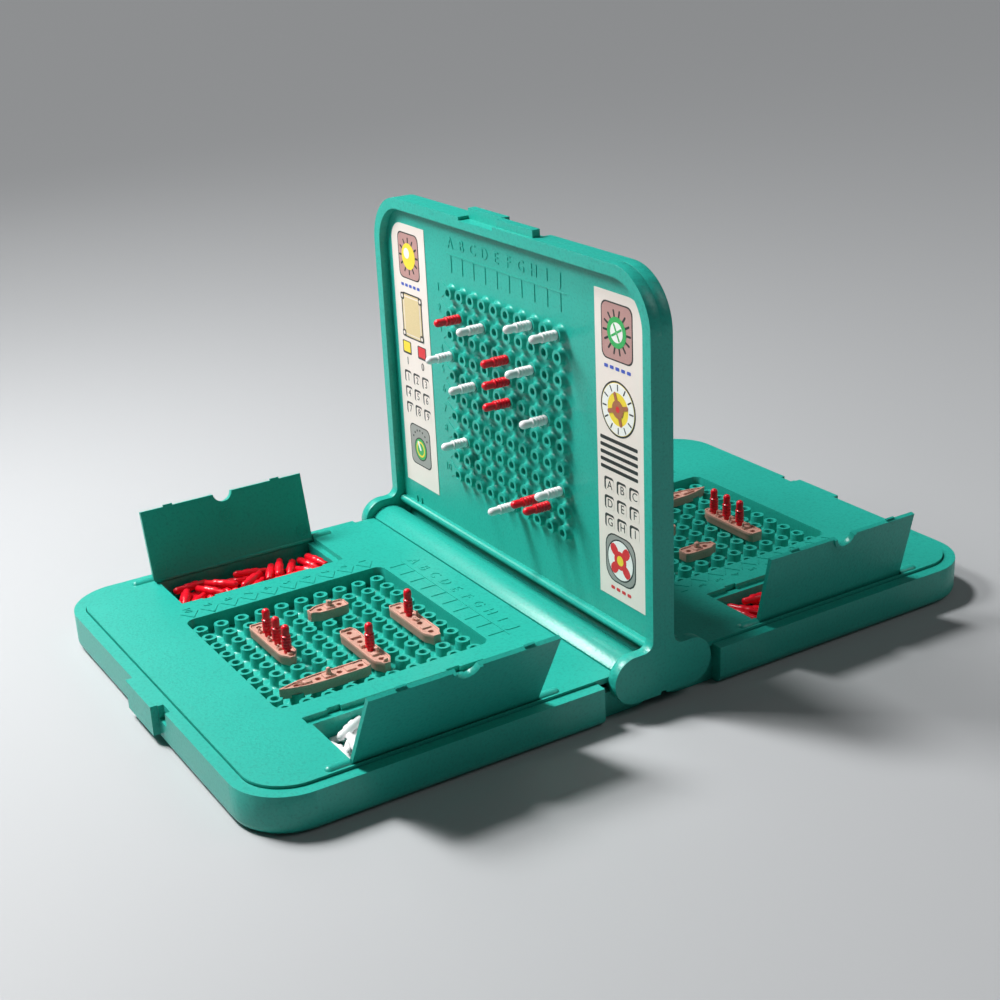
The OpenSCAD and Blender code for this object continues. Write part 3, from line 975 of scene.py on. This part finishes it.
class FLEETCASE_OT_boss_feet(Operator):
    """Flare the feet of the hollow bosses into the leaf's faces and the wells' floors"""

    bl_idname = "fleetcase.boss_feet"
    bl_label = "Boss Feet"

    def execute(self, context):
        grid = settings().grid
        foot = self.flare(grid.boss_radius, rise=0.85 * MM)
        floor = grid.tray_mouth - grid.well_depth
        feet = [copy_of(foot, Matrix.Translation((x, y, floor))) for x, y in all_holes(tray_hole)]
        self.fit(feet, "well_boss_feet", "{side}_tray")
        face = -grid.leaf_face
        stand = [Matrix.Translation((x, face, z)) @ FACING_FRONT for x, z in all_holes(leaf_hole)]
        self.fit([copy_of(foot, place) for place in stand], "leaf_boss_feet", "leaf")
        discard(foot)
        return {"FINISHED"}

    def fit(self, feet, name, body):
        piece = smooth(paint(join(feet, "feet"), "case"), 60)
        fit_both(piece, name, body)

    def flare(self, boss, rise):
        """A ring that sweeps from the floor up to the side of a boss, without a top or a bottom."""
        outer, inner = boss + rise, boss - 0.02 * MM
        stations = [(0, outer)]
        for step in range(1, 5):
            sweep = step * math.pi / 8
            stations.append((rise * (1 - math.cos(sweep)), outer - (outer - inner) * math.sin(sweep)))
        return turned([*stations, (0, inner)], 24, "NOTHING")


# ------------------------------------------------------------------ pegs


def model_peg(sides, ribs, round_steps=4):
    """A peg that stands on its shank: ribbed grip, shoulder and a rounded tip that swells a little."""
    sizes = settings().peg
    rib = sizes.grip / ribs
    shank = sizes.shank_radius
    stations = [(0, shank * 0.7), (0.3 * MM, shank), (sizes.shank, shank)]
    for i in range(ribs):
        start = sizes.shank + i * rib
        stations.append((start + 0.25 * rib, sizes.grip_radius))
        stations.append((start + 0.75 * rib, sizes.grip_radius))
        if i < ribs - 1:
            stations.append((start + rib, sizes.grip_radius * 0.88))
    stations.append((sizes.shank + sizes.grip, sizes.tip_radius * 0.9))
    end = sizes.total - sizes.tip_radius
    for step in range(round_steps):
        sweep = step * math.pi / 2 / round_steps
        stations.append((end + sizes.tip_radius * math.sin(sweep), sizes.tip_radius * math.cos(sweep)))
    stations.append((sizes.total, sizes.tip_radius * 0.12))
    return smooth(turned(stations, sides), 50)


class FLEETCASE_OT_pegs_in_play(Operator):
    """Stand pegs in the leaf's grids, and red ones in the ships that are hit"""

    bl_idname = "fleetcase.pegs_in_play"
    bl_label = "Pegs in Play"

    def execute(self, context):
        pattern = model_peg(sides=16, ribs=5)
        played = {
            ("front", "miss"): FRONT_MISSES,
            ("front", "hit"): FRONT_HITS,
            ("back", "miss"): BACK_MISSES,
            ("back", "hit"): BACK_HITS,
        }
        for (side, kind), holes in played.items():
            pegs = [self.leaf_peg(pattern, row, column) for row, column in holes]
            group = paint(join(pegs, "pegs"), kind)
            if side == "back":
                set_place(group, HALF_TURN)
            fit_out(group, f"{side}_{kind}_pegs_in_play", "leaf")
            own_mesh(group)
        self.ship_pegs(pattern)
        discard(pattern)
        return {"FINISHED"}

    def leaf_peg(self, pattern, row, column):
        x, z = leaf_hole(row, column)
        return copy_of(pattern, Matrix.Translation((x, -0.15 * MM, z)) @ FACING_FRONT)

    def ship_pegs(self, pattern):
        """Slightly smaller pegs that stand in the holes of the ships."""
        mouth = settings().grid.tray_mouth
        foot = mouth + settings().ship.hull - settings().ship.hole_depth
        smaller = Matrix.Diagonal((0.95, 0.95, 0.88, 1))
        pegs = []
        for ship in FLEET.values():
            for hole in ship["hit"]:
                x, y = ship_hole(ship, hole)
                pegs.append(copy_of(pattern, Matrix.Translation((x, y, foot)) @ smaller))
        group = paint(join(pegs, "pegs"), "hit")
        for side, one in zip(SIDES, fit_both(group, "ship_hit_pegs", "{side}_tray")):
            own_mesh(one)


def ship_hole(ship, hole):
    column, row = ship["at"]
    return tray_hole(row, column + hole) if ship["along_x"] else tray_hole(row + hole, column)


class PegHeap:
    """Pegs dropped one by one into a compartment, each coming to rest on the floor or the pegs below.

    A peg is felt as a row of balls, and touching pegs sink into each other a little.
    """

    BALLS = 7
    TILTS = (0.05, 0.1, 0.3)
    SPACING = 0.72  # distance kept between two balls, as a share of a peg's width

    def __init__(self, low, high, roof, seed):
        self.low, self.high, self.roof = low, high, roof
        self.draw = random.Random(seed)
        self.balls = []
        self.places = []

    def drop(self, sizes):
        """Tries several places and keeps the lowest. Says whether it lies under the roof."""
        tried = [self.fall(sizes) for _ in range(sizes.tries)]
        top, balls, place = min(tried, key=lambda found: found[0])
        if top > self.roof:
            return False
        self.balls += balls
        self.places.append(place)
        return True

    def fall(self, sizes):
        """One fall at random: (highest point, balls along the peg, place)."""
        half = sizes.total / 2
        yaw = self.draw.uniform(0, math.tau)
        tilt = self.draw.choice(self.TILTS) * self.draw.uniform(-1, 1)
        way = Vector((math.cos(yaw) * math.cos(tilt), math.sin(yaw) * math.cos(tilt), math.sin(tilt)))
        reach_x = abs(way.x) * half + sizes.grip_radius
        reach_y = abs(way.y) * half + sizes.grip_radius
        x = self.draw.uniform(self.low.x + reach_x, self.high.x - reach_x)
        y = self.draw.uniform(self.low.y + reach_y, self.high.y - reach_y)
        reach = 2 * (half - sizes.grip_radius * 0.5)
        offsets = [way * ((i / (self.BALLS - 1) - 0.5) * reach) for i in range(self.BALLS)]
        rest = self.low.z + sizes.grip_radius + half * abs(way.z)
        gap = 2 * sizes.grip_radius * self.SPACING
        near = [b for b in self.balls if abs(b.x - x) < reach_x + gap and abs(b.y - y) < reach_y + gap]
        for offset in offsets:
            for ball in near:
                flat = math.hypot(x + offset.x - ball.x, y + offset.y - ball.y)
                if flat < gap:
                    rest = max(rest, ball.z - offset.z + math.sqrt(gap * gap - flat * flat))
        centre = Vector((x, y, rest))
        turn = way.to_track_quat("Z", "Y").to_matrix().to_4x4()
        place = Matrix.Translation(centre - way * half) @ turn
        return rest + half * abs(way.z) + sizes.grip_radius, [centre + offset for offset in offsets], place


class FLEETCASE_OT_peg_stores(Operator):
    """Fill the compartments with loose pegs"""

    bl_idname = "fleetcase.peg_stores"
    bl_label = "Peg Stores"
    full_after = 40  # failed drops after which a compartment counts as full

    def execute(self, context):
        sizes = settings().peg
        pattern = model_peg(sides=8, ribs=2, round_steps=2)
        for seed, kind in enumerate(("hit", "miss"), 11):
            low, high = self.room(kind)
            heap = PegHeap(low, high, sizes.heap_top, seed)
            failed = 0
            while len(heap.places) < sizes.stored and failed < self.full_after:
                failed += not heap.drop(sizes)
            group = join([copy_of(pattern, place) for place in heap.places], "store")
            paint(group, kind)
            fit_both(group, f"{kind}_peg_store", "{side}_tray", "{side}_" + f"{kind}_pegs")
        discard(pattern)
        return {"FINISHED"}

    def room(self, kind):
        """Inside of a compartment: its stated opening, widened to the walls, down to the lowest peg."""
        name = f"front_{kind}_peg_compartment"
        openings = frame["record"]["physics"]["openings"]
        box = next(o["box_m"] for o in openings if o["name"] == name)
        slack = 1.2 * MM
        low = Vector((box[0][0] - slack, box[0][1] - slack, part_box(f"front_{kind}_pegs")[0].z))
        high = Vector((box[1][0] + slack, box[1][1] + slack, box[1][2]))
        return low, high


# ------------------------------------------------------------------ ships


def ship_place(ship):
    """Matrix from a ship whose holes lie along +X from the origin to its place in the front tray."""
    x, y = ship_hole(ship, 0)
    turn = Matrix.Rotation(0 if ship["along_x"] else -math.pi / 2, 4, "Z")
    return Matrix.Translation((x, y, settings().grid.tray_mouth)) @ turn


def model_hull(holes, form):
    """A hull with a flared side, a bulwark and a sunken deck. Its side is cut into stations, stern to bow."""
    sizes = settings().ship
    stations, strake, waterline = 16, 0.08 * MM, 0.94
    span = (holes - 1) * settings().grid.pitch
    stern, bow = form["stern"] * MM, form["bow"] * MM
    low, rubbing = -sizes.skirt, sizes.hull * 0.45
    piece = plate(span + stern + bow, sizes.beam, rubbing - low, at=((span + bow - stern) / 2, 0, low))
    select_edges_along_x(piece)
    bpy.ops.mesh.subdivide(number_cuts=stations)
    leave_edit()
    for vertex in piece.data.vertices:
        vertex.co.y *= hull_share(vertex.co.x, span, stern, bow, form) * waterline
    select_faces(piece, lambda face: face.normal.z > 0.9)
    draw_up(strake, (1, 1 / waterline), sizes.hull)
    draw_up(sizes.hull - rubbing - strake)
    bpy.ops.mesh.inset(thickness=sizes.bulwark)
    draw_up(-sizes.deck_drop)
    leave_edit()
    for vertex in piece.data.vertices:
        end = abs((vertex.co.x + stern) / (span + stern + bow) * 2 - 1)
        if vertex.co.z > sizes.hull * 0.5:
            vertex.co.z += form["sheer"] * MM * end**3
    return tidy_mesh(piece)


def hull_share(x, span, stern, bow, form):
    """Share of the full beam at a place along the hull. A slender one draws in before its last hole."""
    slender = form.get("slender", 0.0)
    full = span * (1 - slender)
    if x > full:
        t = (x - full) / (span + bow - full)
        return max(1 - t**(1.8 + slender), form["blunt"], 0.04)
    if x < 0:
        t = -x / stern
        return 1 - 0.28 * t**3
    return 1.0


def drill(piece, holes):
    """Cuts a ship's peg holes, and the recesses that clear the bosses under it and ahead of its bow."""
    sizes = settings().ship
    low, socket = -sizes.skirt - MM, sizes.socket / 2
    bottom, hole = sizes.hull - sizes.hole_depth, sizes.hole / 2
    made = []
    for i in range(holes + 1):
        place = Matrix.Translation((i * settings().grid.pitch, 0, 0))
        made.append(set_place(turned([(low, socket), (0, socket)], 24), place))
        if i < holes:
            made.append(set_place(turned([(bottom, hole), (sizes.headroom + MM, hole)], 20), place))
    cutter = join(made, "drill")
    modify(piece, "BOOLEAN", operation="DIFFERENCE", object=cutter, solver="EXACT")
    discard(cutter)
    return piece


def block(at, size, radius=0.25, taper=1.0):
    """A small deckhouse: a rounded plate drawn up, with its top drawn in."""
    piece = plate(size[0] * MM, size[1] * MM, size[2] * MM, radius * MM, corner_steps=2)
    if taper != 1.0:
        select_faces(piece, lambda face: face.normal.z > 0.9)
        bpy.ops.transform.resize(value=(taper, taper, 1), center_override=(0, 0, size[2] * MM))
        leave_edit()
    return set_place(piece, Matrix.Translation([c * MM for c in at]))


def post(at, radius, height, top=None):
    """A mast, funnel or bollard with a rounded head."""
    r, h = radius * MM, height * MM
    t = r * 0.8 if top is None else top * MM
    stations = [(0, r), (h * 0.08, r), (h * 0.85, t), (h * 0.97, t * 0.8), (h, t * 0.35)]
    return set_place(turned(stations, 14), Matrix.Translation([c * MM for c in at]))


def gun(at, reach, radius=0.22, lean=0.12):
    """A gun barrel that lies along X with a slight rise."""
    r, out = radius * MM, reach * MM
    barrel = turned([(0, r * 1.3), (out * 0.2, r), (out * 0.9, r * 0.9), (out, r * 1.1)], 10)
    lay = Matrix.Rotation(math.pi / 2 - lean, 4, "Y")
    return set_place(barrel, Matrix.Translation([c * MM for c in at]) @ lay)


def turret(x, z):
    """A gun house with two barrels."""
    made = [post((x, 0, z), 0.85, 0.9, 0.75), block((x, 0, z + 0.35), (1.6, 1.3, 0.75), 0.3, 0.8)]
    made += [gun((x + 0.6, y, z + 0.75), 1.9) for y in (-0.31, 0.31)]
    return made


# Fittings are placed in millimetres, along X from a ship's first hole and up from its boss mouths
DECK_Z = 1.7
GAPS = (3.25, 9.75, 16.25)  # middles of the spaces between the holes


def carrier_fittings():
    """Bollards and lockers between the carrier's holes."""
    made = []
    for x in GAPS:
        made.append(block((x, 0, DECK_Z), (1.9, 3.4, 0.8), 0.3, 0.85))
        made.append(post((x, 1.2, DECK_Z), 0.42, 2.2))
        made.append(post((x, -1.2, DECK_Z), 0.42, 1.6))
    made.append(block((21.4, 0, DECK_Z), (1.3, 2.0, 0.8), 0.3, 0.7))
    return made


def cruiser_fittings():
    """Deckhouses between the holes, a stout mast amidships, guns forward and a stepped stern."""
    aft, middle, fore = GAPS
    return [
        block((middle, 0, DECK_Z), (3.6, 3.1, 0.62), 0.4, 0.9),
        post((middle, 0, DECK_Z + 0.2), 0.95, 2.35, 0.6),
        block((aft, 0, DECK_Z), (3.2, 3.0, 0.6), 0.3, 0.9),
        block((fore, 0, DECK_Z), (2.8, 2.1, 0.6), 0.4, 0.85),
        gun((fore + 0.35, -0.5, DECK_Z + 0.35), 2.6, 0.24, 0.05),
        gun((fore + 0.35, 0.5, DECK_Z + 0.35), 2.6, 0.24, 0.05),
        block((-1.8, 0, DECK_Z), (0.9, 3.6, 0.6), 0.2),
    ]


def frigate_fittings():
    """Deckhouses between the holes, a funnel forward, and a raised fin at the bow and at the stern."""
    aft, middle, fore = GAPS
    return [
        block((aft, 0, DECK_Z), (2.1, 3.4, 0.7), 0.3, 0.9),
        block((middle, 0, DECK_Z), (2.1, 3.4, 0.9), 0.3, 0.9),
        post((fore, 0.6, DECK_Z), 0.6, 2.2),
        block((fore, 0, DECK_Z), (2.1, 3.2, 0.7), 0.4, 0.85),
        block((22.1, 0, DECK_Z - 0.3), (0.8, 1.6, 1.6), 0.2, 0.8),
        block((-1.9, 0, DECK_Z - 0.2), (0.6, 3.2, 1.0), 0.2, 0.9),
    ]


def destroyer_fittings():
    """A twin gun turret between the second and third holes, with deckhouses fore and aft."""
    aft, middle, fore = GAPS
    return [
        *turret(middle + 0.15, DECK_Z),
        block((aft, 0, DECK_Z), (2.1, 3.4, 0.5), 0.3, 0.9),
        post((middle - 0.55, 1.3, DECK_Z), 0.4, 2.4),
        block((fore, 0, DECK_Z), (2.1, 3.2, 0.5), 0.3, 0.9),
    ]


def patrol_boat_fittings():
    """A wheelhouse between the two holes, with a pair of steeply slanting guns."""
    middle = GAPS[0]
    return [
        block((middle, 0, DECK_Z), (3.2, 3.2, 0.62), 0.3, 0.85),
        post((middle, 0, DECK_Z + 0.3), 1.0, 1.9),
        gun((middle - 0.65, -0.36, DECK_Z + 0.7), 2.0, 0.28, 0.9),
        gun((middle - 0.65, 0.36, DECK_Z + 0.7), 2.0, 0.28, 0.9),
        block((middle - 0.15, 0, DECK_Z + 0.8), (1.6, 1.5, 1.1), 0.3, 0.8),
    ]


# Stern and bow reach this many millimetres past the end holes, and sheer is the rise of the ends. Blunt is
# the least share of the beam at the bow, and slender is the share of the length over which the bow draws in.
HULLS = {
    "carrier": {"stern": 2.3, "bow": 3.9, "sheer": 0.0, "blunt": 0.3},
    "cruiser": {"stern": 2.3, "bow": 5.0, "sheer": 0.15, "blunt": 0.0, "slender": 0.45},
    "frigate": {"stern": 2.3, "bow": 3.8, "sheer": 0.15, "blunt": 0.34},
    "destroyer": {"stern": 2.3, "bow": 3.6, "sheer": 0.0, "blunt": 0.45},
    "patrol_boat": {"stern": 2.3, "bow": 3.4, "sheer": 0.0, "blunt": 0.5},
}
FITTINGS = {
    "carrier": carrier_fittings,
    "cruiser": cruiser_fittings,
    "frigate": frigate_fittings,
    "destroyer": destroyer_fittings,
    "patrol_boat": patrol_boat_fittings,
}


class FLEETCASE_OT_fleet(Operator):
    """Model the ships that lie in the wells"""

    bl_idname = "fleetcase.fleet"
    bl_label = "Fleet"

    def execute(self, context):
        for kind, ship in FLEET.items():
            hull = soften(model_hull(ship["holes"], HULLS[kind]), 0.12 * MM, 2, 30)
            drill(hull, ship["holes"])
            fittings = [soften(part, 0.06 * MM, 1, 40) for part in FITTINGS[kind]()]
            whole = join([hull, *fittings, *self.pins(ship["holes"])], kind)
            smooth(paint(set_place(whole, ship_place(ship)), "ship"))
            fit_both(whole, f"{kind}_ship", "{side}_tray", "{side}_" + kind)
        return {"FINISHED"}

    def pins(self, holes):
        """Pins under the two end holes that stand in the boss mouths."""
        stations = [(-2.4 * MM, 0.8 * MM), (-2.1 * MM, 1.05 * MM), (0.3 * MM, 1.05 * MM)]
        ends = (0, (holes - 1) * settings().grid.pitch)
        return [set_place(turned(stations, 16), Matrix.Translation((x, 0, 0))) for x in ends]


# ------------------------------------------------------------------ stage


class FLEETCASE_OT_stage(Operator):
    """Set the grey floor, the soft lights and the camera"""

    bl_idname = "fleetcase.stage"
    bl_label = "Stage"

    def execute(self, context):
        stage = settings().stage
        self.floor()
        self.world(stage.sky)
        self.camera(stage)
        self.light("SUN", "high", (-0.5, -0.3, 1.0), math.radians(10), stage.high)
        self.light("AREA", "key", (-0.2, -0.23, 0.38), 0.14, stage.key)
        self.light("AREA", "left", (-0.62, -0.1, 0.42), 0.35, stage.left)
        self.light("AREA", "back", (0.5, 0.6, 0.7), 0.4, stage.back)
        context.scene.view_settings.view_transform = "Standard"
        return {"FINISHED"}

    def floor(self):
        deselect()
        bpy.ops.mesh.primitive_plane_add(size=40, location=(0, 0, -0.05 * MM))
        floor = bpy.context.object
        floor.name = "floor"
        finish = Finish("floor_finish", Roughness=0.6)
        floor.data.materials.append(finish.set(Base_Color=(0.44, 0.45, 0.46, 1)))

    def world(self, strength):
        world = bpy.data.worlds.new("studio")
        world.use_nodes = True
        background = world.node_tree.nodes["Background"]
        background.inputs["Color"].default_value = (0.93, 0.96, 1, 1)
        background.inputs["Strength"].default_value = strength
        bpy.context.scene.world = world

    def camera(self, stage):
        target = Vector((8 * MM, -10 * MM, 42 * MM))
        turn, rise = stage.azimuth, math.tan(stage.elevation)
        back = Vector((math.sin(turn), -math.cos(turn), rise)).normalized()
        deselect()
        bpy.ops.object.camera_add(location=target + back * stage.distance)
        camera = bpy.context.object
        roll = Matrix.Rotation(stage.roll, 4, "Z")
        aim = (-back).to_track_quat("-Z", "Y").to_matrix().to_4x4()
        camera.rotation_euler = (aim @ roll).to_euler()
        camera.data.lens = stage.lens
        camera.data.clip_start = 0.01
        camera.data.dof.use_dof = False
        bpy.context.scene.camera = camera

    def light(self, kind, name, place, softness, power):
        deselect()
        bpy.ops.object.light_add(type=kind, location=place)
        light = bpy.context.object
        light.name = name + "_light"
        setattr(light.data, "angle" if kind == "SUN" else "size", softness)
        light.data.energy = power
        aim = Vector((0, 0, 40 * MM)) - Vector(place)
        light.rotation_euler = aim.to_track_quat("-Z", "Y").to_euler()


# ------------------------------------------------------------------ add-on


class FLEETCASE_PT_sidebar(Panel):
    """Buttons of the fleet guessing case"""

    bl_idname = "FLEETCASE_PT_sidebar"
    bl_label = "Fleet Guessing Case"
    bl_space_type = "VIEW_3D"
    bl_region_type = "UI"
    bl_category = "Fleet Case"

    def draw(self, context):
        for step in STEPS:
            self.layout.operator(step.bl_idname)
        for group in ("colours", "grid", "legend", "peg", "ship", "stage"):
            box = self.layout.box()
            values = getattr(settings(), group)
            for name in values.__annotations__:
                box.prop(values, name)


STEPS = (
    FLEETCASE_OT_case_finish,
    FLEETCASE_OT_leaf_legend,
    FLEETCASE_OT_deck_legend,
    FLEETCASE_OT_label_art,
    FLEETCASE_OT_lid_marks,
    FLEETCASE_OT_boss_feet,
    FLEETCASE_OT_fleet,
    FLEETCASE_OT_pegs_in_play,
    FLEETCASE_OT_peg_stores,
    FLEETCASE_OT_stage,
)
GROUPS = (CaseColours, GridSizes, LegendSizes, PegSizes, ShipSizes, StageSizes, FleetCaseSettings)
CLASSES = GROUPS + STEPS + (FLEETCASE_PT_sidebar,)


def register():
    for cls in CLASSES:
        bpy.utils.register_class(cls)
    bpy.types.Scene.fleet_case = PointerProperty(type=FleetCaseSettings)


def unregister():
    del bpy.types.Scene.fleet_case
    for cls in reversed(CLASSES):
        bpy.utils.unregister_class(cls)


def main():
    register()
    for step in STEPS:
        area, action = step.bl_idname.split(".")
        getattr(getattr(bpy.ops, area), action)()


if __name__ == "__main__":
    main()
